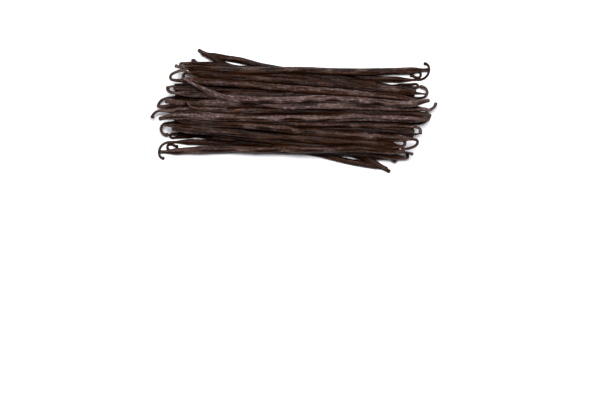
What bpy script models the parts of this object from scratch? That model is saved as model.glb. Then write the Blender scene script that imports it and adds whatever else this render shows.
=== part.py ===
"""A heap of cured vanilla pods, as one solid out to its uneven outline.

About fifty soft, slender pods lie side by side along X in a low mound. Each pod is a long tube that swells
from a thin curled stem to a full body and ends in a blunt or pointed tip. The mound looks the same after a
half turn, apart from the few pods along its crown, so most pods are described once and laid twice.
Lengths below are in millimetres, and the model is in metres.
"""

import bmesh
import bpy
import numpy as np

MM = 0.001

# How the pods lie on each other.
POINT_SPACING = 1.0  # between the points of a pod while the heap is laid
PRESS = 0.88  # centre distance of two pods in contact, as a share of their two radii
FLATTEN = 0.8  # a pod's thickness over its width
TABLE_GAP = 0.15  # the pods on the table stop this far above the core's base
EASE_ROUNDS = 80  # how often a pod's bends are eased while it settles
EASE_SPAN = 9  # points averaged in each round
SAG = 0.03  # how far a free stretch drops in each round

# How a pod's width grows from its ends, as a share of full width and the length over which it grows.
STEM = (0.4, 12.0)
POINT = (0.25, 20.0)
STRAP = (0.35, 45.0)
BLUNT = (0.55, 12.0)
STEM_STRAIGHT_SHARE = 0.8  # share of a curl that stays at the stem's own width

# How finely the solid is divided.
BODY_SPACING = 12
CURL_SPACING = 2
TUBE_BEVEL_RESOLUTION = 1  # six sides
TUBE_SWELL = 1.08  # makes up for the flats of a six-sided tube

# The mound of covered pods that the outer ones lie on.
CORE_LENGTH = 124.0
CORE_WIDTH = 40.0
CORE_CELLS = (14, 8)
CORE_REACH = 4.0  # how far around a point the mound looks for pods above it
CORE_COVER = 2.0  # how far below those pods' middles it stays

SKIN_COLOUR = (0.030, 0.016, 0.011, 1.0)
SKIN_ROUGHNESS = 0.45


def pod(width, lane, left=BLUNT, right=BLUNT, left_curl=(), right_curl=()):
    """A pod: its full width, the points its body passes, its two ends and the curls of its stems.

    A curl is a row of (length, turn in degrees) arcs that go on from the body's end.
    """
    return {
        "width": width,
        "lane": lane,
        "ends": (left, right),
        "curls": (left_curl, right_curl),
    }


# The pods that are laid twice, the second time after a half turn about the heap's middle.
PAIRED = {
    "fork_outer": pod(
        4.4,
        [(-64.5, 41), (-58.5, 37.8), (-53, 36.8), (-45, 35.4), (-36, 33.9), (-27, 31.7), (-20, 30)]
        + [(7, 26), (31, 23.4), (58, 21.6), (67, 21.2), (77, 21.1)],
        right=STEM,
        right_curl=[(7.5, 2), (3, 22), (6, 50), (4, 35), (3.5, 70)],
    ),
    "fork_inner": pod(
        4.4,
        [(-62.5, 39), (-59, 37.5), (-55, 35.5), (-52, 33.9), (-48.4, 31.8), (-42.5, 29.8), (-34, 27.5)]
        + [(0, 21.5), (40, 18.2), (58, 17), (66, 16), (73, 16.9), (82, 18.4)],
        right=STEM,
        right_curl=[(3.5, -120)],
    ),
    "hooked_stem": pod(
        4.7,
        [(-65, 32.3), (-49, 29.8), (-32, 28), (5, 27.1), (37, 26.4), (70, 26.5)],
        left=STEM,
        right=STEM,
        left_curl=[(2.6, -50), (1.8, 110)],
        right_curl=[(13, 2), (2, -32), (5.2, -150), (3, -35), (2, 35)],
    ),
    "short_stem": pod(
        4.7,
        [(-76, 32), (-66, 31.1), (-53, 29.3), (-36, 27.6), (0, 24.5), (37, 21)]
        + [(52, 18.4), (62, 16.6), (70, 15.8), (83, 15.7)],
        left=STEM,
        right=STRAP,
        left_curl=[(1.5, 110), (2, 0)],
    ),
    "rim": pod(
        4.7,
        [(-75, 28.5), (-66, 27.5), (0, 26.4), (44, 26.2), (64, 26.6), (90, 27.7)],
        left=STEM,
        right=STEM,
        left_curl=[(4.4, -15)],
    ),
    "brown_tip": pod(4.7, [(-70, 26.5), (-46, 26.5), (-16, 24), (37, 17.5), (60, 14.3), (81, 12.8)]),
    "broad_hook": pod(
        5.6,
        [(-71.5, 24.7), (-50, 22.6), (-9, 19.8), (44, 14.6), (88, 10.3)],
        left=STEM,
        right=POINT,
        left_curl=[(4.4, 105), (2.5, 0)],
    ),
    "returning_loop": pod(
        5.1,
        [(-77, 19.5), (-70, 19.5), (-60, 18.9), (-36, 17), (44, 9.6), (71, 7.5), (82, 5.4)],
        left=STEM,
        left_curl=[(4.6, -15), (2.4, -85), (2.8, -50), (5.5, -20), (3.5, 0)],
    ),
    "wide_loop": pod(
        5.0,
        [(-86, 15.6), (-80, 16.3), (-74, 16.2), (-63, 15.2), (0, 15.5), (44, 12), (80, 8.4)],
        left=POINT,
        right=STEM,
        right_curl=[(7, 18), (6.5, 100), (5, 75)],
    ),
    "small_loop": pod(
        5.1,
        [(-79, 11.2), (-46, 9.8), (0, 9.3), (31, 8.5), (76, 6)],
        left=STEM,
        left_curl=[(4.2, -15), (3.5, -90)],
    ),
    "slack_loop": pod(
        4.7,
        [(-79, 8.8), (-50, 8), (0, 7.3), (40, 6.5), (70, 4.5)],
        left=STEM,
        left_curl=[(4.8, 6), (5, 20), (4.5, 50), (1.2, 10)],
    ),
    "grey_tip": pod(4.7, [(-90.5, 2.6), (-80, 2.5), (-72, 1.7), (-43, 1.8), (0, 2.4), (70, 0.5)]),
    "swan_neck": pod(
        5.0,
        [(-86, 5.8), (-78, 5.4), (-43, 4), (0, 4.9), (44, 2.5), (86, 0.5)],
        right=STEM,
        right_curl=[(4.4, 2), (7.2, 80)],
    ),
}

# The crown's pods, which are laid once.
SINGLE = {
    "valley": pod(
        4.7,
        [(-87, -0.7), (-36, -1.5), (17, -0.7), (58, -2.1), (90, -3.7)],
        left=STEM,
        left_curl=[(1.6, -60)],
    ),
    "centre": pod(
        5.8,
        [(-70, 4), (-29, 3.3), (4, 3), (58, 1.9), (87, 0.4)],
        right=STEM,
        right_curl=[(2.7, -60)],
    ),
    "pale": pod(
        5.4,
        [(-89, -6.5), (-84, -5.3), (-73, -4.3), (-36, -6.2), (0, -5.7), (58, -5.7), (89.5, -6.7)],
    ),
    "crossing": pod(
        4.7,
        [(-74.5, 20.8), (-60, 13.4), (-46, 7.7), (-29, 6), (24, 6.5)]
        + [(51, 5.2), (71, 3.3), (80, 3.7), (89.5, 5.6)],
        left=STRAP,
    ),
    "loose_stem": pod(
        2.6,
        [(-64, 0.7), (-56, 0.4), (-45, 0.6)],
        right=POINT,
        left_curl=[(3.5, -10), (2.8, -45), (2.8, -10)],
    ),
}

# The covered pods lie straight in layers. The inner lanes of a layer are long at both ends, and the outer
# ones end sooner, most of all where a corner of the heap is open.
COVERED_WIDTH = 5.1
COVERED_SLANT = -0.03
COVERED_INNER = 80.0
COVERED_OUTER = 66.0
COVERED_CORNER = 54.0
COVERED_TURN = 15.0  # lanes further out than this are outer ones
TABLE_LANES = [-17, -12.2, -7.3, -2.4, 2.4, 7.3, 12.2, 17]
SECOND_LANES = [-19.4, -14.6, -9.8, -4.9, 0, 4.9, 9.8, 14.6, 19.4]
THIRD_LANES = [-12, 12]


def half_turn(one):
    """The same pod after a half turn about the heap's middle."""
    left, right = one["ends"]
    left_curl, right_curl = one["curls"]
    lane = [(-x, -y) for x, y in reversed(one["lane"])]
    return pod(one["width"], lane, right, left, right_curl, left_curl)


def twins(*names):
    return [laid for name in names for laid in (PAIRED[name], half_turn(PAIRED[name]))]


def covered(lanes):
    """A layer of straight pods."""
    layer = []
    for y in lanes:
        start, stop = -COVERED_INNER, COVERED_INNER
        if y > COVERED_TURN:
            start, stop = -COVERED_OUTER, COVERED_CORNER
        elif y < -COVERED_TURN:
            start, stop = -COVERED_CORNER, COVERED_OUTER
        lane = [(x, y + COVERED_SLANT * x) for x in (start, 0, stop)]
        layer.append(pod(COVERED_WIDTH, lane))
    return layer


def laying_order():
    """Every pod from the table up, and whether it shows on the heap's outline."""
    hidden, shown = False, True
    steps = [
        (shown, twins("fork_outer", "fork_inner")),
        (hidden, covered(TABLE_LANES)),
        (shown, twins("hooked_stem", "short_stem")),
        (hidden, covered(SECOND_LANES)),
        (shown, twins("wide_loop")),
        (hidden, covered(THIRD_LANES)),
        (shown, twins("slack_loop", "grey_tip", "swan_neck", "brown_tip", "rim", "small_loop", "broad_hook")),
        (shown, [SINGLE["valley"]]),
        (shown, twins("returning_loop")),
        (shown, [SINGLE["centre"], SINGLE["pale"], SINGLE["crossing"], SINGLE["loose_stem"]]),
    ]
    return [(one, shows) for shows, pods in steps for one in pods]


def smooth_through(knots):
    """Evenly spaced points on a smooth curve through the knots."""
    knots = np.array(knots, float)
    along = np.concatenate([[0], np.cumsum(np.linalg.norm(np.diff(knots, axis=0), axis=1))])
    slope = np.gradient(knots, along, axis=0)
    where = np.linspace(0, along[-1], int(round(along[-1] / POINT_SPACING)) + 1)
    i = np.clip(np.searchsorted(along, where, side="right") - 1, 0, len(along) - 2)
    span = (along[i + 1] - along[i])[:, None]
    s = (where - along[i])[:, None] / span
    start = (2 * s**3 - 3 * s**2 + 1) * knots[i] + (s**3 - 2 * s**2 + s) * span * slope[i]
    stop = (3 * s**2 - 2 * s**3) * knots[i + 1] + (s**3 - s**2) * span * slope[i + 1]
    return start + stop


def curl_from(start, direction, arcs):
    """Points along a row of arcs that goes on from start."""
    points = []
    place = np.array(start, float)
    heading = np.arctan2(direction[1], direction[0])
    for length, turn in arcs:
        count = max(2, int(np.ceil(length / POINT_SPACING)))
        bend = np.radians(turn) / count
        for _ in range(count):
            heading += bend / 2
            place = place + length / count * np.array([np.cos(heading), np.sin(heading)])
            heading += bend / 2
            points.append(place)
    return np.array(points).reshape(-1, 2)


def centreline(one):
    """The pod's middle line in plan, and how many of its points belong to each curl."""
    body = smooth_through(one["lane"])
    left = curl_from(body[0], body[0] - body[1], one["curls"][0])
    right = curl_from(body[-1], body[-1] - body[-2], one["curls"][1])
    return np.concatenate([left[::-1], body, right]), len(left), len(right)


def grown(distance, end, curl):
    """Share of full width at a distance from an end."""
    share, length = end
    straight = STEM_STRAIGHT_SHARE * sum(arc for arc, _ in curl)
    s = np.clip((distance - straight) / length, 0, 1)
    return share + (1 - share) * s * s * (3 - 2 * s)


def half_widths(one, line):
    along = np.concatenate([[0], np.cumsum(np.linalg.norm(np.diff(line, axis=0), axis=1))])
    left = grown(along, one["ends"][0], one["curls"][0])
    right = grown(along[-1] - along, one["ends"][1], one["curls"][1])
    return one["width"] / 2 * np.minimum(left, right)


def eased(heights):
    ends = np.pad(heights, EASE_SPAN // 2, mode="edge")
    return np.convolve(ends, np.ones(EASE_SPAN) / EASE_SPAN, mode="valid")


def lay_pods():
    """Each pod's points, half widths and curl lengths, with the pod resting on those laid before it.

    The heap is laid with round pods, whose heights are flattened afterwards.
    """
    laid = []
    places, sizes = np.empty((0, 3)), np.empty(0)
    for one, shows in laying_order():
        line, left, right = centreline(one)
        sizes_here = half_widths(one, line)
        touching = sizes_here.copy()
        if len(places):
            apart = ((line[:, None] - places[None, :, :2]) ** 2).sum(axis=2)
            reach = (PRESS * (sizes_here[:, None] + sizes[None, :])) ** 2
            lifted = places[None, :, 2] + np.sqrt(np.maximum(reach - apart, 0))
            touching = np.maximum(touching, np.where(apart < reach, lifted, 0).max(axis=1))
        heights = touching
        for _ in range(EASE_ROUNDS):
            heights = np.maximum(touching, eased(heights) - SAG)
        points = np.column_stack([line, heights])
        laid.append((points, sizes_here, left, right, shows))
        places = np.concatenate([places, points])
        sizes = np.concatenate([sizes, sizes_here])
    return laid


def kept_points(count, left, right):
    """Which of a pod's points the solid keeps: close together in its curls, further apart along its body."""
    curls = list(range(0, left, CURL_SPACING)) + list(range(count - 1, count - 1 - right, -CURL_SPACING))
    pieces = max(1, round((count - 1 - left - right) / BODY_SPACING))
    body = np.linspace(left, count - 1 - right, pieces + 1).round().astype(int)
    return sorted(set(curls) | set(body.tolist()))


def new_collection(name):
    made = bpy.data.collections.new(name)
    bpy.context.scene.collection.children.link(made)
    return made


def skin_material():
    material = bpy.data.materials.new("pod_skin")
    material.use_nodes = True
    shader = material.node_tree.nodes["Principled BSDF"]
    shader.inputs["Base Color"].default_value = SKIN_COLOUR
    shader.inputs["Roughness"].default_value = SKIN_ROUGHNESS
    shader.inputs["Metallic"].default_value = 0.0
    return material


def pod_tube(name, points, sizes, collection):
    """A pod as a closed mesh: a bevelled curve, flattened, with its caps welded."""
    curve = bpy.data.curves.new(name, "CURVE")
    curve.dimensions = "3D"
    curve.bevel_depth = TUBE_SWELL * MM
    curve.bevel_resolution = TUBE_BEVEL_RESOLUTION
    curve.use_fill_caps = True
    spline = curve.splines.new("POLY")
    spline.points.add(len(points) - 1)
    for knot, (x, y, z), size in zip(spline.points, points, sizes):
        knot.co = (x * MM, y * MM, z * MM, 1)
        knot.radius = size
    guide = bpy.data.objects.new(name + "_guide", curve)
    collection.objects.link(guide)
    guide.scale.z = FLATTEN
    guide.location.z = TABLE_GAP * MM
    bpy.context.view_layer.update()
    graph = bpy.context.evaluated_depsgraph_get()
    mesh = bpy.data.meshes.new_from_object(guide.evaluated_get(graph))
    mesh.transform(guide.matrix_world)
    bpy.data.objects.remove(guide)
    weld(mesh)
    tube = bpy.data.objects.new(name, mesh)
    tube.hide_render = True
    tube.display_type = "WIRE"
    collection.objects.link(tube)


def weld(mesh):
    work = bmesh.new()
    work.from_mesh(mesh)
    bmesh.ops.remove_doubles(work, verts=work.verts, dist=1e-6)
    bmesh.ops.recalc_face_normals(work, faces=work.faces)
    work.to_mesh(mesh)
    work.free()


def core_height(x, y, laid):
    """How high the mound of covered pods reaches, in millimetres."""
    under = 0.0
    for points, _, _, _, _ in laid:
        near = np.hypot(points[:, 0] - x, points[:, 1] - y) < CORE_REACH
        if near.any():
            under = max(under, points[near, 2].min())
    return max(1.0, FLATTEN * under - CORE_COVER)


def core_mound(name, laid, collection):
    """The mound under the outer pods: a grid raised to their undersides and closed by a flat base."""
    work = bmesh.new()
    bmesh.ops.create_grid(work, x_segments=CORE_CELLS[0], y_segments=CORE_CELLS[1], size=0.5)
    for vert in work.verts:
        x, y = vert.co.x * CORE_LENGTH, vert.co.y * CORE_WIDTH
        vert.co = (x * MM, y * MM, core_height(x, y, laid) * MM)
    made = bmesh.ops.extrude_face_region(work, geom=work.faces[:])
    for vert in made["geom"]:
        if isinstance(vert, bmesh.types.BMVert):
            vert.co.z = 0.0
    base = [face for face in made["geom"] if isinstance(face, bmesh.types.BMFace)]
    bmesh.ops.dissolve_faces(work, faces=base)
    bmesh.ops.recalc_face_normals(work, faces=work.faces)
    mesh = bpy.data.meshes.new(name)
    work.to_mesh(mesh)
    work.free()
    mound = bpy.data.objects.new(name, mesh)
    collection.objects.link(mound)
    return mound


def keep_outer_shell(bundle):
    """Settles the union into the mesh and drops the hollows that it closed in between the pods."""
    graph = bpy.context.evaluated_depsgraph_get()
    mesh = bpy.data.meshes.new_from_object(bundle.evaluated_get(graph))
    bundle.modifiers.clear()
    work = bmesh.new()
    work.from_mesh(mesh)
    unseen = set(work.verts)
    shells = []
    while unseen:
        shell, edge_of_search = set(), {unseen.pop()}
        while edge_of_search:
            shell |= edge_of_search
            around = {edge.other_vert(vert) for vert in edge_of_search for edge in vert.link_edges}
            edge_of_search = around - shell
        unseen -= shell
        shells.append(shell)
    outer = max(shells, key=len)
    inner = [vert for vert in work.verts if vert not in outer]
    bmesh.ops.delete(work, geom=inner, context="VERTS")
    work.to_mesh(mesh)
    work.free()
    bundle.data = mesh
    print(len(shells) - 1, "closed hollows dropped,", len(mesh.polygons), "faces left")


def main():
    for old in list(bpy.data.objects):
        bpy.data.objects.remove(old)
    parts = new_collection("bundle of vanilla pods")
    joined = new_collection("outer pods")
    laid = lay_pods()
    for number, (points, sizes, left, right, shows) in enumerate(laid):
        if shows:
            kept = kept_points(len(points), left, right)
            pod_tube(f"pod_{number:02d}", points[kept], sizes[kept], joined)
    bundle = core_mound("pod_bundle", laid, parts)
    union = bundle.modifiers.new("outer pods", "BOOLEAN")
    union.operation = "UNION"
    union.operand_type = "COLLECTION"
    union.collection = joined
    union.solver = "EXACT"
    keep_outer_shell(bundle)
    bundle.data.materials.append(skin_material())


main()
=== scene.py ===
# %% [markdown]
# # A heap of cured vanilla pods
# This lesson builds a loose heap of about fifty cured vanilla pods, as they lie on a table.
# A cured pod is a long, soft, oily strap: nearly black, wrinkled along its length, with a thin
# curled stem at one end and, most often, a blunt tip at the other. We load the plain solid of the heap as a
# guide first, because it fixes the size and the place of everything that follows.

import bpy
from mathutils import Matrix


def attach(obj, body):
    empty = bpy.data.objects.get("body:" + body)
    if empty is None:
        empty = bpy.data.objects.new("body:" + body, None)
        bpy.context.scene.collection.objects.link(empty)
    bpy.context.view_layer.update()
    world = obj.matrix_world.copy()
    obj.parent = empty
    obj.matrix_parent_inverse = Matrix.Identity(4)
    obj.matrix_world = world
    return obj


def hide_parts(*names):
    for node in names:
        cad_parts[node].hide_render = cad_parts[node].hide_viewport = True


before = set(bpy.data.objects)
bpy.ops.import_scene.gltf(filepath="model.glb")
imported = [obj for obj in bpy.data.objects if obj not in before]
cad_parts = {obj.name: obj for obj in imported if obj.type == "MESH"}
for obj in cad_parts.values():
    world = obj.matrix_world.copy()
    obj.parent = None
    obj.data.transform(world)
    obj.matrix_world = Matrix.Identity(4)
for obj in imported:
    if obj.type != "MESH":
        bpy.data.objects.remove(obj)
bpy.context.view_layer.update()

# %% [markdown]
# ## Where the pods lie
# Each pod is described by its full width, the few points its body passes, its two ends, and the
# arcs of its curled stems. We could scatter pods at random, but a heap has an outline of its
# own, made by the ends that stick out. So the outer pods are placed one by one, in millimetres.
# The heap looks the same after a half turn, apart from its crown, so most pods are placed once
# and laid twice.

import bmesh
import bpy
import numpy as np
from mathutils import Vector

MM = 0.001
STEM = (0.4, 12.0)  # share of full width at the end, and the length over which the pod fills out
POINT = (0.25, 20.0)
STRAP = (0.35, 45.0)
BLUNT = (0.55, 12.0)


def pod(width, lane, left=BLUNT, right=BLUNT, left_curl=(), right_curl=()):
    """A pod. A curl is a row of (length, turn in degrees) arcs that go on from the body's end."""
    return {
        "width": width,
        "lane": lane,
        "ends": (left, right),
        "curls": (left_curl, right_curl),
    }


print("ends:", STEM, POINT, STRAP, BLUNT)

# %% The pods one by one
# The pods that are laid twice, the second time after a half turn about the heap's middle.
PAIRED = {
    "fork_outer": pod(
        4.4,
        [(-64.5, 41), (-58.5, 37.8), (-53, 36.8), (-45, 35.4), (-36, 33.9), (-27, 31.7), (-20, 30)]
        + [(7, 26), (31, 23.4), (58, 21.6), (67, 21.2), (77, 21.1)],
        right=STEM,
        right_curl=[(7.5, 2), (3, 22), (6, 50), (4, 35), (3.5, 70)],
    ),
    "fork_inner": pod(
        4.4,
        [(-62.5, 39), (-59, 37.5), (-55, 35.5), (-52, 33.9), (-48.4, 31.8), (-42.5, 29.8), (-34, 27.5)]
        + [(0, 21.5), (40, 18.2), (58, 17), (66, 16), (73, 16.9), (82, 18.4)],
        right=STEM,
        right_curl=[(3.5, -120)],
    ),
    "hooked_stem": pod(
        4.7,
        [(-65, 32.3), (-49, 29.8), (-32, 28), (5, 27.1), (37, 26.4), (70, 26.5)],
        left=STEM,
        right=STEM,
        left_curl=[(2.6, -50), (1.8, 110)],
        right_curl=[(13, 2), (2, -32), (5.2, -150), (3, -35), (2, 35)],
    ),
    "short_stem": pod(
        4.7,
        [(-76, 32), (-66, 31.1), (-53, 29.3), (-36, 27.6), (0, 24.5), (37, 21)]
        + [(52, 18.4), (62, 16.6), (70, 15.8), (83, 15.7)],
        left=STEM,
        right=STRAP,
        left_curl=[(1.5, 110), (2, 0)],
    ),
    "rim": pod(
        4.7,
        [(-75, 28.5), (-66, 27.5), (0, 26.4), (44, 26.2), (64, 26.6), (90, 27.7)],
        left=STEM,
        right=STEM,
        left_curl=[(4.4, -15)],
    ),
    "brown_tip": pod(4.7, [(-70, 26.5), (-46, 26.5), (-16, 24), (37, 17.5), (60, 14.3), (81, 12.8)]),
    "broad_hook": pod(
        5.6,
        [(-71.5, 24.7), (-50, 22.6), (-9, 19.8), (44, 14.6), (88, 10.3)],
        left=STEM,
        right=POINT,
        left_curl=[(4.4, 105), (2.5, 0)],
    ),
    "returning_loop": pod(
        5.1,
        [(-77, 19.5), (-70, 19.5), (-60, 18.9), (-36, 17), (44, 9.6), (71, 7.5), (82, 5.4)],
        left=STEM,
        left_curl=[(4.6, -15), (2.4, -85), (2.8, -50), (5.5, -20), (3.5, 0)],
    ),
    "wide_loop": pod(
        5.0,
        [(-86, 15.6), (-80, 16.3), (-74, 16.2), (-63, 15.2), (0, 15.5), (44, 12), (80, 8.4)],
        left=POINT,
        right=STEM,
        right_curl=[(7, 18), (6.5, 100), (5, 75)],
    ),
    "small_loop": pod(
        5.1,
        [(-79, 11.2), (-46, 9.8), (0, 9.3), (31, 8.5), (76, 6)],
        left=STEM,
        left_curl=[(4.2, -15), (3.5, -90)],
    ),
    "slack_loop": pod(
        4.7,
        [(-79, 8.8), (-50, 8), (0, 7.3), (40, 6.5), (70, 4.5)],
        left=STEM,
        left_curl=[(4.8, 6), (5, 20), (4.5, 50), (1.2, 10)],
    ),
    "grey_tip": pod(4.7, [(-90.5, 2.6), (-80, 2.5), (-72, 1.7), (-43, 1.8), (0, 2.4), (70, 0.5)]),
    "swan_neck": pod(
        5.0,
        [(-86, 5.8), (-78, 5.4), (-43, 4), (0, 4.9), (44, 2.5), (86, 0.5)],
        right=STEM,
        right_curl=[(4.4, 2), (7.2, 80)],
    ),
}

# The crown's pods, which are laid once.
SINGLE = {
    "valley": pod(
        4.7,
        [(-87, -0.7), (-36, -1.5), (17, -0.7), (58, -2.1), (90, -3.7)],
        left=STEM,
        left_curl=[(1.6, -60)],
    ),
    "centre": pod(
        5.8,
        [(-70, 4), (-29, 3.3), (4, 3), (58, 1.9), (87, 0.4)],
        right=STEM,
        right_curl=[(2.7, -60)],
    ),
    "pale": pod(
        5.4,
        [(-89, -6.5), (-84, -5.3), (-73, -4.3), (-36, -6.2), (0, -5.7), (58, -5.7), (89.5, -6.7)],
    ),
    "crossing": pod(
        4.7,
        [(-74.5, 20.8), (-60, 13.4), (-46, 7.7), (-29, 6), (24, 6.5)]
        + [(51, 5.2), (71, 3.3), (80, 3.7), (89.5, 5.6)],
        left=STRAP,
    ),
    "loose_stem": pod(
        2.6,
        [(-64, 0.7), (-56, 0.4), (-45, 0.6)],
        right=POINT,
        left_curl=[(3.5, -10), (2.8, -45), (2.8, -10)],
    ),
}

# The covered pods lie straight in layers. The inner lanes of a layer are long at both ends, and the outer
# ones end sooner, most of all where a corner of the heap is open.
COVERED_WIDTH = 5.1
COVERED_SLANT = -0.03
COVERED_INNER = 80.0
COVERED_OUTER = 66.0
COVERED_CORNER = 54.0
COVERED_TURN = 15.0  # lanes further out than this are outer ones
TABLE_LANES = [-17, -12.2, -7.3, -2.4, 2.4, 7.3, 12.2, 17]
SECOND_LANES = [-19.4, -14.6, -9.8, -4.9, 0, 4.9, 9.8, 14.6, 19.4]
THIRD_LANES = [-12, 12]
print(len(PAIRED), "pods to lay twice,", len(SINGLE), "along the crown")

# %% [markdown]
# ## The order of laying
# A heap is built from the table up. Straight pods that nobody sees fill the lower layers, and
# the outer pods follow in the order in which they cross each other. Each pod keeps the name of
# the piece that it will be part of, so that pods of one kind share a mesh.

# %% Stack the order
def half_turn(one):
    """The same pod after a half turn about the heap's middle."""
    left, right = one["ends"]
    left_curl, right_curl = one["curls"]
    lane = [(-x, -y) for x, y in reversed(one["lane"])]
    return pod(one["width"], lane, right, left, right_curl, left_curl)


def twins(*names):
    return [(name, laid) for name in names for laid in (PAIRED[name], half_turn(PAIRED[name]))]


def covered(lanes):
    """A layer of straight pods. The outermost end sooner where the heap's corners are open."""
    layer = []
    for y in lanes:
        start, stop = -COVERED_INNER, COVERED_INNER
        if y > COVERED_TURN:
            start, stop = -COVERED_OUTER, COVERED_CORNER
        elif y < -COVERED_TURN:
            start, stop = -COVERED_CORNER, COVERED_OUTER
        lane = [(x, y + COVERED_SLANT * x) for x in (start, 0, stop)]
        layer.append(("covered", pod(COVERED_WIDTH, lane)))
    return layer


laying_order = [
    *twins("fork_outer", "fork_inner"),
    *covered(TABLE_LANES),
    *twins("hooked_stem", "short_stem"),
    *covered(SECOND_LANES),
    *twins("wide_loop"),
    *covered(THIRD_LANES),
    *twins("slack_loop", "grey_tip", "swan_neck", "brown_tip", "rim", "small_loop", "broad_hook"),
    ("valley", SINGLE["valley"]),
    *twins("returning_loop"),
    ("centre", SINGLE["centre"]),
    ("pale", SINGLE["pale"]),
    ("crossing", SINGLE["crossing"]),
    ("loose_stem", SINGLE["loose_stem"]),
]
print(len(laying_order), "pods in all")

# %% [markdown]
# ## A pod's middle line
# The body follows a smooth cubic through its points, which bends like a soft pod does, with no
# corners. A curled stem is easier to give as arcs, as one would bend wire round a peg.

# %% Body and curls
POINT_SPACING = 1.0


def smooth_through(knots, spacing=POINT_SPACING):
    """Evenly spaced points on a smooth curve through the knots."""
    knots = np.array(knots, float)
    along = np.concatenate([[0], np.cumsum(np.linalg.norm(np.diff(knots, axis=0), axis=1))])
    slope = np.gradient(knots, along, axis=0)
    where = np.linspace(0, along[-1], int(round(along[-1] / spacing)) + 1)
    i = np.clip(np.searchsorted(along, where, side="right") - 1, 0, len(along) - 2)
    span = (along[i + 1] - along[i])[:, None]
    s = (where - along[i])[:, None] / span
    start = (2 * s**3 - 3 * s**2 + 1) * knots[i] + (s**3 - 2 * s**2 + s) * span * slope[i]
    stop = (3 * s**2 - 2 * s**3) * knots[i + 1] + (s**3 - s**2) * span * slope[i + 1]
    return start + stop


def curl_from(start, direction, arcs):
    """Points along a row of arcs that goes on from start."""
    points = []
    place = np.array(start, float)
    heading = np.arctan2(direction[1], direction[0])
    for length, turn in arcs:
        count = max(2, int(np.ceil(length / POINT_SPACING)))
        bend = np.radians(turn) / count
        for _ in range(count):
            heading += bend / 2
            place = place + length / count * np.array([np.cos(heading), np.sin(heading)])
            heading += bend / 2
            points.append(place)
    return np.array(points).reshape(-1, 2)


def centreline(one):
    body = smooth_through(one["lane"])
    left = curl_from(body[0], body[0] - body[1], one["curls"][0])
    right = curl_from(body[-1], body[-1] - body[-2], one["curls"][1])
    return np.concatenate([left[::-1], body, right])


def lengths_along(line):
    return np.concatenate([[0], np.cumsum(np.linalg.norm(np.diff(line, axis=0), axis=1))])


rim_length = lengths_along(centreline(PAIRED["rim"]))[-1]
print(f"the rim pod is {rim_length:.0f} mm long")

# %% [markdown]
# ## How wide a pod is along its length
# A stem stays thin round its curl and then swells into the body. A blunt tip starts at a
# little over half width. An S-shaped ramp makes both, because a pod's outline has no kink where it fills out.

# %% Half widths
STEM_STRAIGHT_SHARE = 0.8


def grown(distance, end, curl):
    """Share of full width at a distance from an end."""
    share, length = end
    straight = STEM_STRAIGHT_SHARE * sum(arc for arc, _ in curl)
    s = np.clip((distance - straight) / length, 0, 1)
    return share + (1 - share) * s * s * (3 - 2 * s)


def half_widths(one, line):
    along = lengths_along(line)
    left = grown(along, one["ends"][0], one["curls"][0])
    right = grown(along[-1] - along, one["ends"][1], one["curls"][1])
    return one["width"] / 2 * np.minimum(left, right)


rim_width = 2 * half_widths(PAIRED["rim"], centreline(PAIRED["rim"])).max()
print(f"and {rim_width:.1f} mm wide at its middle")

# %% [markdown]
# ## Laying the heap
# A physics simulation could drop fifty soft pods, but they would end up somewhere else. Here
# each pod keeps its place in plan and only finds its height: it touches what already lies below
# it, and its bends are then eased again and again, never below a touch. Free ends sag a little.
# Soft pods press into each other, so they may come closer than their widths allow.

# %% Let each pod settle
PRESS = 0.88
FLATTEN = 0.8
EASE_ROUNDS = 80
EASE_SPAN = 9
SAG = 0.03


def eased(heights):
    ends = np.pad(heights, EASE_SPAN // 2, mode="edge")
    return np.convolve(ends, np.ones(EASE_SPAN) / EASE_SPAN, mode="valid")


def lay_pods(order):
    """Each pod's name, points and half widths in millimetres, laid as round pods."""
    laid = []
    places, sizes = np.empty((0, 3)), np.empty(0)
    for name, one in order:
        line = centreline(one)
        sizes_here = half_widths(one, line)
        touching = sizes_here.copy()
        if len(places):
            apart = ((line[:, None] - places[None, :, :2]) ** 2).sum(axis=2)
            reach = (PRESS * (sizes_here[:, None] + sizes[None, :])) ** 2
            lifted = places[None, :, 2] + np.sqrt(np.maximum(reach - apart, 0))
            touching = np.maximum(touching, np.where(apart < reach, lifted, 0).max(axis=1))
        heights = touching
        for _ in range(EASE_ROUNDS):
            heights = np.maximum(touching, eased(heights) - SAG)
        points = np.column_stack([line, heights])
        laid.append((name, points, sizes_here))
        places = np.concatenate([places, points])
        sizes = np.concatenate([sizes, sizes_here])
    return laid


laid_pods = lay_pods(laying_order)
heap_top = max((points[:, 2] + sizes).max() for _, points, sizes in laid_pods) * FLATTEN
print(f"the heap is {heap_top:.1f} mm high")

# %% [markdown]
# ## Painted shade in crevices, painted light on ridges
# Where a pod stands above its neighbours its skin is painted paler, as a painted highlight, and
# down between two pods it is painted near black, as painted shade. To know which is which, we draw
# the heap's upper side as a height map and blur it. A point that stands above the blurred map is on
# a ridge, and a point below it is in a crevice.

# %% A height map of the heap
CELL = 0.5
MAP_HALF = (105.0, 50.0)
BLUR_SPAN = 7
BLUR_ROUNDS = 3
PATCH = 6  # cells drawn on each side of a pod's point


def blurred(heights):
    kernel = np.ones(BLUR_SPAN) / BLUR_SPAN
    for _ in range(BLUR_ROUNDS):
        for axis in (0, 1):
            heights = np.apply_along_axis(np.convolve, axis, heights, kernel, mode="same")
    return heights


def cell_of(x, y):
    column = np.round((np.asarray(x) + MAP_HALF[0]) / CELL).astype(int)
    row = np.round((np.asarray(y) + MAP_HALF[1]) / CELL).astype(int)
    return column, row


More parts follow.
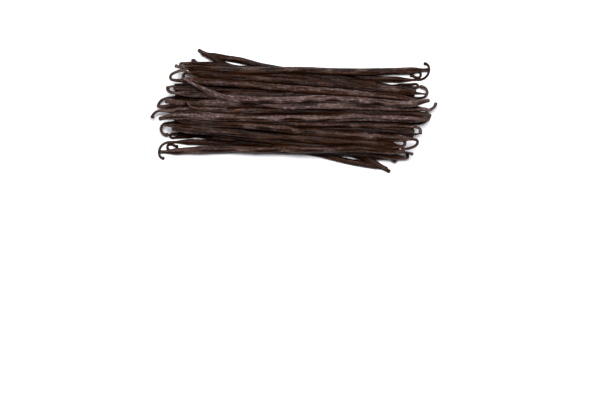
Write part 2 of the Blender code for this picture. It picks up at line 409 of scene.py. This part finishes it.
def height_map(laid):
    heights = np.zeros((int(2 * MAP_HALF[0] / CELL) + 1, int(2 * MAP_HALF[1] / CELL) + 1))
    steps = np.arange(-PATCH, PATCH + 1)
    across, along = np.meshgrid(steps, steps, indexing="ij")
    for _, points, sizes in laid:
        columns, rows = cell_of(points[:, 0], points[:, 1])
        for column, row, z, size in zip(columns, rows, points[:, 2], sizes):
            inside = size**2 - (across**2 + along**2) * CELL**2
            top = np.where(inside > 0, z + np.sqrt(np.maximum(inside, 0)), 0) * FLATTEN
            patch = heights[column - PATCH : column + PATCH + 1, row - PATCH : row + PATCH + 1]
            np.maximum(patch, top, out=patch)
    return heights


top_map = height_map(laid_pods)
level_map = blurred(top_map)
print("mean level of the heap:", level_map[top_map > 0].mean().round(1), "mm")

# %% [markdown]
# ## The skin's relief
# Curing shrinks the pod inside its skin, so the skin folds into furrows that run lengthways,
# wander a little, and fade in and out. A pod is also a little three-sided, it twists, and seeds
# make it lumpy. Bump alone would not change the outline or the way light rolls over a pod, so
# these larger forms go into the mesh, and only the finest wrinkles are left to the material.

# %% Slow random waves
def waves(along, span, rng, count=4):
    """A smooth random wave along a pod, about -1 to 1, with features about span long."""
    total = np.zeros_like(along)
    for _ in range(count):
        length = span * rng.uniform(0.6, 2.2)
        total += np.cos(2 * np.pi * (along / length + rng.uniform()))
    return total / np.sqrt(2 * count)


print("waves sample:", waves(np.arange(3.0), 8, np.random.default_rng(1)).round(2))

# %% Furrows and lumps
FURROWS = 6
FURROW_DEPTH = 0.17  # of the pod's half width
FURROW_WIDTH = 0.30  # radians
THREE_SIDED = 0.045
TWO_SIDED = 0.05
LUMPS = 0.028
FINE_LUMPS = 0.5 * LUMPS
CREASES = 5
CREASE_DEPTH = 0.06
CREASE_WIDTH = 0.9  # millimetres along the pod
CREASE_SLANT = 1.5
TWIST = 1.2
FURROW_WANDER = 0.22
ANY_TURN = 6.28  # upper end of a random angle, about a full turn
# How long the features of each wave are, in millimetres along the pod.
TWIST_SPAN = 90
LUMP_SPAN = 14
FINE_LUMP_SPAN = 6
FURROW_SPAN = 45
FADE_SPAN = 24


def angle_between(a, b):
    return (a - b + np.pi) % (2 * np.pi) - np.pi


def skin_relief(along, angles, rng):
    """How far the skin stands in or out, as a share of half width, and how deep in a furrow it is."""
    s, a = along[:, None], angles[None, :]
    twist = rng.uniform(0, ANY_TURN) + TWIST * waves(along, TWIST_SPAN, rng)[:, None]
    relief = TWO_SIDED * np.cos(2 * (a - twist)) + THREE_SIDED * np.cos(3 * (a - twist) + 1)
    relief = relief + LUMPS * waves(along, LUMP_SPAN, rng)[:, None]
    relief = relief + FINE_LUMPS * waves(along, FINE_LUMP_SPAN, rng)[:, None]
    furrow = np.zeros((len(along), len(angles)))
    for number in range(FURROWS):
        home = 2 * np.pi * (number + rng.uniform(-0.35, 0.35)) / FURROWS
        path = home + FURROW_WANDER * waves(along, FURROW_SPAN, rng)[:, None]
        fade = np.clip(0.55 + 0.75 * waves(along, FADE_SPAN, rng), 0, 1.3)[:, None]
        width = FURROW_WIDTH * rng.uniform(0.7, 1.6)
        furrow += fade * rng.uniform(0.4, 1.2) * np.exp(-((angle_between(a, path) / width) ** 2))
    relief = relief - FURROW_DEPTH * np.minimum(furrow, 1.4)
    for _ in range(CREASES):
        place, turn = rng.uniform(0.1, 0.9) * along[-1], rng.uniform(0, ANY_TURN)
        slant = place + CREASE_SLANT * np.sin(a - turn)
        partly = 0.5 + 0.5 * np.cos(a - turn)
        relief = relief - CREASE_DEPTH * partly * np.exp(-(((s - slant) / CREASE_WIDTH) ** 2))
    return relief, np.clip(furrow, 0, 1)


sample_angles = np.linspace(0, 6, 40)
sample_relief, _ = skin_relief(np.arange(60.0), sample_angles, np.random.default_rng(2))
print("relief from", sample_relief.min().round(3), "to", sample_relief.max().round(3))

# %% [markdown]
# ## A pod's mesh
# A curve with a bevel is the quick way to make a tube, but every ring of it is the same. We
# build the rings ourselves, across the pod's own direction, so that each can be wrinkled. The
# rings close in a rounded cap at each end. Each point also stores its place on the pod as if the
# pod were straight, which lets the material's streaks follow every curl.

# %% Rings along a pod
RING_SPACING = 0.7
CAP_RINGS = 4
CAP_REACH = 0.7  # of the half width
CAP_STEP = 0.3
SWAY = 0.28  # how far a pod wanders sideways
SWAY_SPAN = 40
RISE = 0.18  # and up and down
RISE_SPAN = 30
LOWEST = 0.05  # no corner lies lower than this
KNOB = 0.35
KNOB_LENGTH = 1.3
TIP_LENGTH = 9.0
STRAP_LENGTH = 42.0
STRAP_PRESS = 0.5
STRAP_SPREAD = 0.25
# Over this height the painted shade of a crevice turns into the painted highlight of a ridge.
PAINTED_LIGHT_SPAN = 4.0  # height over which a point goes from crevice to ridge


def with_caps(points, sizes):
    """The pod's points and half widths with a rounded cap added at each end."""
    turns = np.linspace(0, np.pi / 2, CAP_RINGS + 2)[1:-1]
    out_left = points[0] - points[1]
    out_right = points[-1] - points[-2]
    parts_points, parts_sizes = [points], [sizes]
    ends = (
        (out_left, points[0], sizes[0], True),
        (out_right, points[-1], sizes[-1], False),
    )
    for direction, at, size, first in ends:
        unit = direction / np.linalg.norm(direction)
        cap = at + CAP_REACH * size * np.sin(turns)[:, None] * unit
        cap_sizes = size * np.cos(turns)
        if first:
            parts_points.insert(0, cap[::-1])
            parts_sizes.insert(0, cap_sizes[::-1])
        else:
            parts_points.append(cap)
            parts_sizes.append(cap_sizes)
    return np.concatenate(parts_points), np.concatenate(parts_sizes)


def pod_rings(one, points, sizes, sides, rng):
    """Corner places (rings, sides, 3) in millimetres, and what the material needs to know there."""
    closer = smooth_through(np.column_stack([points, sizes]), RING_SPACING)
    points, sizes = closer[:, :3], closer[:, 3]
    along = lengths_along(points)
    from_left, from_right = along, along[-1] - along
    left_end, right_end = one["ends"]
    knobs = np.ones_like(along)
    tip = np.zeros_like(along)
    pressed = np.zeros_like(along)
    for distance, end in ((from_left, left_end), (from_right, right_end)):
        if end is STEM:
            knobs += KNOB * np.exp(-((distance / KNOB_LENGTH) ** 2))
        elif end is STRAP:
            pressed = np.maximum(pressed, np.exp(-((distance / STRAP_LENGTH) ** 4)))
        else:
            tip = np.maximum(tip, np.exp(-((distance / TIP_LENGTH) ** 2)))
    wander = np.minimum(1, sizes / sizes.max()) ** 2
    points[:, 1] += SWAY * wander * waves(along, SWAY_SPAN, rng)
    points[:, 2] += RISE * wander * waves(along, RISE_SPAN, rng)
    points[:, 2] -= STRAP_PRESS * pressed * sizes
    points, sizes = with_caps(points, sizes * knobs * (1 + STRAP_SPREAD * pressed))
    thick = 1 - STRAP_PRESS * np.pad(pressed, CAP_RINGS, mode="edge")
    along = lengths_along(points) - CAP_RINGS * CAP_STEP
    tip = np.pad(tip, CAP_RINGS, mode="edge")
    ahead = np.gradient(points, axis=0)
    ahead /= np.linalg.norm(ahead, axis=1)[:, None]
    across = np.cross(ahead, [0, 0, 1.0])
    across /= np.linalg.norm(across, axis=1)[:, None]
    above = np.cross(across, ahead)
    angles = np.linspace(0, 2 * np.pi, sides, endpoint=False)
    relief, furrow = skin_relief(along, angles, rng)
    reach = sizes[:, None] * (1 + relief)
    around = np.cos(angles)[None, :, None] * across[:, None]
    around = around + (thick[:, None] * np.sin(angles))[..., None] * above[:, None]
    corners = points[:, None] + reach[..., None] * around
    corners[..., 2] = np.maximum(corners[..., 2] * FLATTEN, LOWEST)
    straight = np.stack(
        [
            np.broadcast_to(along[:, None], reach.shape),
            reach * np.cos(angles),
            reach * np.sin(angles),
        ],
        axis=-1,
    )
    columns, rows = cell_of(corners[..., 0], corners[..., 1])
    # 0 where the skin gets painted shade, 1 where it gets a painted highlight.
    painted_light_level = np.clip(0.5 + (corners[..., 2] - level_map[columns, rows]) / PAINTED_LIGHT_SPAN, 0, 1)
    tips = np.broadcast_to(tip[:, None], reach.shape)
    return corners, straight + rng.uniform(0, 900, 3), furrow, tips, painted_light_level


print("a cap has", CAP_RINGS, "rings")

# %% [markdown]
# ## Joining pods of a kind
# Each kind of pod becomes one piece. Fifty separate objects would work as well, but pods of one
# kind share a material and never move apart, and one mesh is quicker to handle.

# %% From rings to a mesh
def quads(rings, sides, first):
    """Corner numbers of the quads between neighbouring rings, and of the two end caps."""
    ring, side = np.meshgrid(np.arange(rings - 1), np.arange(sides), indexing="ij")
    after = (side + 1) % sides
    here, there = ring * sides, (ring + 1) * sides
    faces = np.stack([here + side, here + after, there + after, there + side], -1)
    start = list(range(first + sides - 1, first - 1, -1))
    last = first + (rings - 1) * sides
    return [*(faces.reshape(-1, 4) + first).tolist(), start, list(range(last, last + sides))]


def add_values(mesh, name, values, kind="FLOAT"):
    layer = mesh.attributes.new(name, kind, "POINT")
    field = "vector" if kind == "FLOAT_VECTOR" else "value"
    layer.data.foreach_set(field, np.ascontiguousarray(values, np.float32).ravel())


def pods_piece(name, members, sides, tones, seed):
    """One mesh of several laid pods: members are (pod, points, half widths)."""
    rng = np.random.default_rng(seed)
    corners, straight, furrow, tip, painted_light_level, tone, faces = [], [], [], [], [], [], []
    first = 0
    for (one, points, sizes), tone_here in zip(members, tones):
        c, s, f, t, e = pod_rings(one, points, sizes, sides, rng)
        faces += quads(len(c), sides, first)
        first += c.shape[0] * c.shape[1]
        corners.append(c.reshape(-1, 3))
        straight.append(s.reshape(-1, 3))
        furrow.append(f.ravel())
        tip.append(t.ravel())
        painted_light_level.append(e.ravel())
        tone.append(np.full(f.size, tone_here))
    mesh = bpy.data.meshes.new(name)
    mesh.from_pydata((np.concatenate(corners) * MM).tolist(), [], faces)
    add_values(mesh, "straight", np.concatenate(straight), "FLOAT_VECTOR")
    add_values(mesh, "furrow", np.concatenate(furrow))
    add_values(mesh, "tip", np.concatenate(tip))
    add_values(mesh, "painted_light_level", np.concatenate(painted_light_level))
    add_values(mesh, "tone", np.concatenate(tone))
    mesh.shade_smooth()
    piece = bpy.data.objects.new(name, mesh)
    bpy.context.scene.collection.objects.link(piece)
    triangles = sum(len(polygon.vertices) - 2 for polygon in mesh.polygons)
    print(f"{name}: {len(members)} pods, {triangles} triangles")
    return piece


# %% [markdown]
# ## Cured skin
# The skin is nearly black brown, a little redder or more olive from pod to pod, and paler at the
# tips. On the ridges it is painted paler, with lilac glints, as a painted highlight, and the crown's
# pods are greyer, partly dry skin and partly a painted sheen. Oil gives it a soft, broken shine. One
# shader with attributes from the mesh does it all: the streaks use the straightened place, so they
# run along each pod, and the furrows and crevices are painted near black, as painted shade.

# %% The skin material
# Near-black painted shade for crevices and furrows.
PAINTED_SHADE_COLOUR = (0.0055, 0.0014, 0.0005, 1)
SKIN_DARK = (0.0090, 0.0027, 0.0009, 1)
SKIN_BROWN = (0.036, 0.0125, 0.0048, 1)
# Greyish skin: partly dry skin, partly a painted sheen on high ridges and on the crown's pods.
SKIN_GREY = (0.092, 0.053, 0.042, 1)
# Lilac colour of the glints painted on high ridges, a painted highlight.
PAINTED_GLINT_COLOUR = (0.27, 0.22, 0.24, 1)
TIP_COLOUR = (0.045, 0.024, 0.017, 1)


def node(tree, kind, **inputs):
    made = tree.nodes.new(kind)
    for name, value in inputs.items():
        made.inputs[name.replace("_", " ")].default_value = value
    return made


def read_value(tree, name, output="Fac"):
    made = tree.nodes.new("ShaderNodeAttribute")
    made.attribute_name = name
    return made.outputs[output]


def ramp(tree, factor, low, high):
    """Rises from 0 to 1 as the factor goes from low to high."""
    made = node(tree, "ShaderNodeMapRange", From_Min=low, From_Max=high)
    tree.links.new(factor, made.inputs["Value"])
    return made.outputs["Result"]


def mixed(tree, factor, first, second):
    made = tree.nodes.new("ShaderNodeMix")
    made.data_type = "RGBA"
    tree.links.new(factor, made.inputs["Factor"])
    for socket, colour in ((made.inputs[6], first), (made.inputs[7], second)):
        if isinstance(colour, tuple):
            socket.default_value = colour
        else:
            tree.links.new(colour, socket)
    return made.outputs[2]


def combined(tree, operation, first, second):
    made = tree.nodes.new("ShaderNodeMath")
    made.operation = operation
    for socket, value in zip(made.inputs, (first, second)):
        if isinstance(value, float):
            socket.default_value = value
        else:
            tree.links.new(value, socket)
    return made.outputs[0]


def streaks(tree, stretch, scale, detail=3.0, roughness=0.6):
    """Noise drawn out along the pod by stretch."""
    place = tree.nodes.new("ShaderNodeVectorMath")
    place.operation = "MULTIPLY"
    place.inputs[1].default_value = (1 / stretch, 1, 1)
    tree.links.new(read_value(tree, "straight", "Vector"), place.inputs[0])
    noise = node(tree, "ShaderNodeTexNoise", Scale=scale, Detail=detail, Roughness=roughness)
    tree.links.new(place.outputs[0], noise.inputs["Vector"])
    return noise.outputs["Fac"]


def cured_skin(name):
    material = bpy.data.materials.new(name)
    material.use_nodes = True
    tree = material.node_tree
    shader = tree.nodes["Principled BSDF"]
    broad = streaks(tree, 9.0, 0.3)
    fine = streaks(tree, 16.0, 1.2, detail=2.0)
    grain = streaks(tree, 2.6, 1.0, detail=2.0)
    tone = read_value(tree, "tone")
    painted_light_level = read_value(tree, "painted_light_level")
    furrow = read_value(tree, "furrow")
    tip = read_value(tree, "tip")
    brown = mixed(tree, ramp(tree, fine, 0.42, 0.58), SKIN_DARK, SKIN_BROWN)
    patchy = combined(tree, "MULTIPLY", combined(tree, "SUBTRACT", broad, 0.5), 0.9)
    # The pod's own tone and random patches, plus a painted highlight that makes ridges paler, less painted
    # shade in the furrows.
    dry_tone_and_painted_light = combined(tree, "ADD", combined(tree, "ADD", tone, painted_light_level), patchy)
    dry_tone_and_painted_light = combined(tree, "SUBTRACT", dry_tone_and_painted_light, furrow)
    streaky = combined(tree, "ADD", ramp(tree, fine, 0.35, 0.65), 0.3)
    grey = combined(tree, "MULTIPLY", ramp(tree, dry_tone_and_painted_light, 0.7, 1.5), streaky)
    colour = mixed(tree, grey, brown, SKIN_GREY)
    # Painted highlight: speckled lilac glints painted where the skin stands high and pale.
    painted_glints = combined(tree, "MULTIPLY", ramp(tree, grain, 0.54, 0.66), ramp(tree, dry_tone_and_painted_light, 0.6, 1.5))
    colour = mixed(tree, combined(tree, "MULTIPLY", painted_glints, 0.55), colour, PAINTED_GLINT_COLOUR)
    colour = mixed(tree, combined(tree, "MULTIPLY", tip, 0.6), colour, TIP_COLOUR)
    # Painted shade: the furrows are painted near black.
    colour = mixed(tree, combined(tree, "MULTIPLY", furrow, 0.8), colour, PAINTED_SHADE_COLOUR)
    # Painted shade: below the heap's blurred level the skin is painted near black.
    colour = mixed(tree, ramp(tree, painted_light_level, -0.1, 0.52), PAINTED_SHADE_COLOUR, colour)
    tree.links.new(colour, shader.inputs["Base Color"])
    gloss = node(tree, "ShaderNodeMapRange", From_Min=0.4, From_Max=0.6, To_Min=0.19, To_Max=0.38)
    tree.links.new(grain, gloss.inputs["Value"])
    tree.links.new(gloss.outputs["Result"], shader.inputs["Roughness"])
    shader.inputs["Specular IOR Level"].default_value = 0.06
    wrinkles = node(tree, "ShaderNodeBump", Strength=0.7, Distance=0.0006)
    tree.links.new(fine, wrinkles.inputs["Height"])
    pores = node(tree, "ShaderNodeBump", Strength=0.7, Distance=0.0006)
    tree.links.new(grain, pores.inputs["Height"])
    tree.links.new(wrinkles.outputs["Normal"], pores.inputs["Normal"])
    tree.links.new(pores.outputs["Normal"], shader.inputs["Normal"])
    return material


skin = cured_skin("cured_skin")
print("made", skin.name)

# %% [markdown]
# ## The pieces
# The splayed pods at the rims, the looped ones, the straight flanks and the crown are pieces of
# their own. The covered pods are seen only from the side and between others, so they get coarser
# rings. A tone near 1 is a greyish pod, partly dry skin and partly a painted sheen that makes the
# crown's pods look lit, and near 0 an oily dark one.

# %% Build every kind
FINE_SIDES = 40
COVERED_SIDES = 28
COVERED_TONE = 0.15
COVERED_SEED = 9
KINDS = {
    "splayed_pods": ("fork_outer", "fork_inner", "hooked_stem", "short_stem"),
    "flank_pods": ("rim", "brown_tip", "broad_hook", "returning_loop"),
    "looped_pods": ("wide_loop", "small_loop", "slack_loop"),
    "crown_pods": ("grey_tip", "swan_neck", "valley", "centre", "pale", "crossing", "loose_stem"),
}
TONES = {
    "fork_outer": 0.15,
    "fork_inner": 0.0,
    "hooked_stem": 0.05,
    "short_stem": 0.2,
    "rim": 0.15,
    "brown_tip": 0.1,
    "broad_hook": 0.15,
    "returning_loop": 0.3,
    "wide_loop": 0.15,
    "small_loop": 0.45,
    "slack_loop": 0.5,
    "grey_tip": 0.6,
    "swan_neck": 0.5,
    "valley": 0.4,
    "centre": 0.95,
    "pale": 0.8,
    "crossing": 0.9,
    "loose_stem": 0.9,
}


def members_of(names):
    return [
        (one, points, sizes)
        for (name, points, sizes), (_, one) in zip(laid_pods, laying_order)
        if name in names
    ]


pieces = []
for seed, (piece_name, names) in enumerate(KINDS.items()):
    tones = [TONES[name] for name, _, _ in laid_pods if name in names]
    pieces.append(pods_piece(piece_name, members_of(names), FINE_SIDES, tones, seed))
covered_members = members_of(("covered",))
covered_tones = [COVERED_TONE] * len(covered_members)
pieces.append(pods_piece("covered_pods", covered_members, COVERED_SIDES, covered_tones, COVERED_SEED))
for piece in pieces:
    piece.data.materials.append(skin)
    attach(piece, "root")
    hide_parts("pod_bundle")

# %% [markdown]
# ## The core
# Deep in the heap nothing can be seen, but light must not leak through between the pods there.
# A low mound inside the covered pods closes it. Its height is a share of the blurred height map,
# so that it stays well under the pods that show.

# %% A dark mound inside
CORE_HALF = (56.0, 15.0)
CORE_CELLS = (28, 10)
CORE_SHARE = 0.55  # of the blurred height map

core_work = bmesh.new()
bmesh.ops.create_grid(core_work, x_segments=CORE_CELLS[0], y_segments=CORE_CELLS[1], size=1.0)
for vert in core_work.verts:
    x, y = vert.co.x * CORE_HALF[0], vert.co.y * CORE_HALF[1]
    inside = max(0.0, 1 - vert.co.x**4) * max(0.0, 1 - vert.co.y**4)
    height = 0.5 + inside * CORE_SHARE * level_map[cell_of(x, y)]
    vert.co = (x * MM, y * MM, height * MM)
core_mesh = bpy.data.meshes.new("heap_core")
core_work.to_mesh(core_mesh)
core_work.free()
core = bpy.data.objects.new("heap_core", core_mesh)
bpy.context.scene.collection.objects.link(core)
# The mound has none of the skin's attributes, so the skin paints it mostly near black, as painted shade.
core_mesh.materials.append(skin)
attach(core, "root")
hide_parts("pod_bundle")
print("core height:", round(max(vert.co.z for vert in core_mesh.vertices) / MM, 1), "mm")

# %% [markdown]
# ## Dry fibres
# A few torn, dark orange fibres lie on the crown and at its right end. They are thin
# bent strips that follow the pods under them, so we ask the laid heap how high it is below each
# point. A bevelled curve is enough for something this thin.

# %% Fibres on the crown
FIBRES = [
    [(-41, -1.0), (-38, -0.6), (-34.5, -0.7)],
    [(-39, -0.4), (-36, -0.3), (-32, 0.1)],
    [(31.8, -3.6), (33, -4.4), (34.2, -4.9)],
    [(87.5, -3.6), (88.6, -3.9)],
]
FIBRE_RADIUS = 0.18
FIBRE_LIFT = 0.1
STRAW_DARK = (0.08, 0.024, 0.008, 1)
STRAW_BRIGHT = (0.22, 0.08, 0.03, 1)


def heap_surface(x, y):
    """Height of the pods' upper side above a point, in millimetres."""
    best = 0.0
    for _, points, sizes in laid_pods:
        apart = (points[:, 0] - x) ** 2 + (points[:, 1] - y) ** 2
        over = apart < sizes**2
        if over.any():
            best = max(best, (points[over, 2] + np.sqrt(sizes[over] ** 2 - apart[over])).max())
    return best * FLATTEN


def fibre(number, route):
    curve = bpy.data.curves.new(f"fibre_{number}", "CURVE")
    curve.dimensions = "3D"
    curve.bevel_depth = FIBRE_RADIUS * MM
    curve.bevel_resolution = 2
    curve.use_fill_caps = True
    line = smooth_through(route)
    spline = curve.splines.new("POLY")
    spline.points.add(len(line) - 1)
    for knot, (x, y), share in zip(spline.points, line, np.linspace(0, 1, len(line))):
        knot.co = (x * MM, y * MM, (heap_surface(x, y) + FIBRE_LIFT) * MM, 1)
        knot.radius = 0.35 + 0.9 * np.sin(np.pi * share)
    made = bpy.data.objects.new(f"dry_fibre_{number}", curve)
    bpy.context.scene.collection.objects.link(made)
    return made


straw = bpy.data.materials.new("dry_straw")
straw.use_nodes = True
straw_shader = straw.node_tree.nodes["Principled BSDF"]
straw_grain = node(straw.node_tree, "ShaderNodeTexNoise", Scale=900.0, Detail=3.0)
straw_colour = mixed(straw.node_tree, straw_grain.outputs["Fac"], STRAW_DARK, STRAW_BRIGHT)
straw.node_tree.links.new(straw_colour, straw_shader.inputs["Base Color"])
straw_shader.inputs["Roughness"].default_value = 0.6
for number, route in enumerate(FIBRES):
    strand = fibre(number, route)
    strand.data.materials.append(straw)
    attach(strand, "root")
print(len(FIBRES), "fibres")

# %% [markdown]
# ## Table, light and camera
# The heap lies on a plain white table and is seen from straight above with a long lens, so that
# the pods at the rim look as upright as those in the middle. One large softbox hangs over the heap,
# a little behind it, and puts a long sheen on every ridge. A dim surround lifts the crevices a little.

# %% White table
floor_mesh = bpy.data.meshes.new("table")
floor_work = bmesh.new()
bmesh.ops.create_grid(floor_work, x_segments=1, y_segments=1, size=3.0)
floor_work.to_mesh(floor_mesh)
floor_work.free()
table = bpy.data.objects.new("table", floor_mesh)
bpy.context.scene.collection.objects.link(table)
white = bpy.data.materials.new("white_table")
white.use_nodes = True
white_shader = white.node_tree.nodes["Principled BSDF"]
white_shader.inputs["Base Color"].default_value = (0.92, 0.92, 0.92, 1)
white_shader.inputs["Roughness"].default_value = 0.9
white_shader.inputs["Specular IOR Level"].default_value = 0.1
floor_mesh.materials.append(white)
print("table laid")

# %% Soft lights
def soft_light(name, place, size, power, colour):
    light = bpy.data.lights.new(name, "AREA")
    light.shape = "RECTANGLE"
    light.size, light.size_y = size
    light.energy = power
    light.color = colour
    lamp = bpy.data.objects.new(name, light)
    lamp.location = place
    lamp.rotation_euler = (-Vector(place)).to_track_quat("-Z", "Y").to_euler()
    bpy.context.scene.collection.objects.link(lamp)


soft_light("overhead_softbox", (0.05, 0.3, 1.35), (1.0, 0.5), 33.0, (0.97, 0.97, 1.0))
world = bpy.data.worlds.new("studio")
world.use_nodes = True
world.node_tree.nodes["Background"].inputs["Color"].default_value = (0.97, 0.97, 1.0, 1)
world.node_tree.nodes["Background"].inputs["Strength"].default_value = 0.12
bpy.context.scene.world = world
bpy.context.scene.view_settings.view_transform = "Standard"
print("lights placed")

# %% Camera above the heap
FRAME_WIDTH = 402.0  # of table that the picture spans, in millimetres
LENS = 85.0
SENSOR = 36.0
camera = bpy.data.cameras.new("camera")
camera.lens = LENS
camera.sensor_width = SENSOR
viewer = bpy.data.objects.new("camera", camera)
viewer.location = (4.0 * MM, -60.4 * MM, (FRAME_WIDTH * LENS / SENSOR + 12) * MM)
bpy.context.scene.collection.objects.link(viewer)
bpy.context.scene.camera = viewer
print("camera height in metres:", round(viewer.location.z, 3))
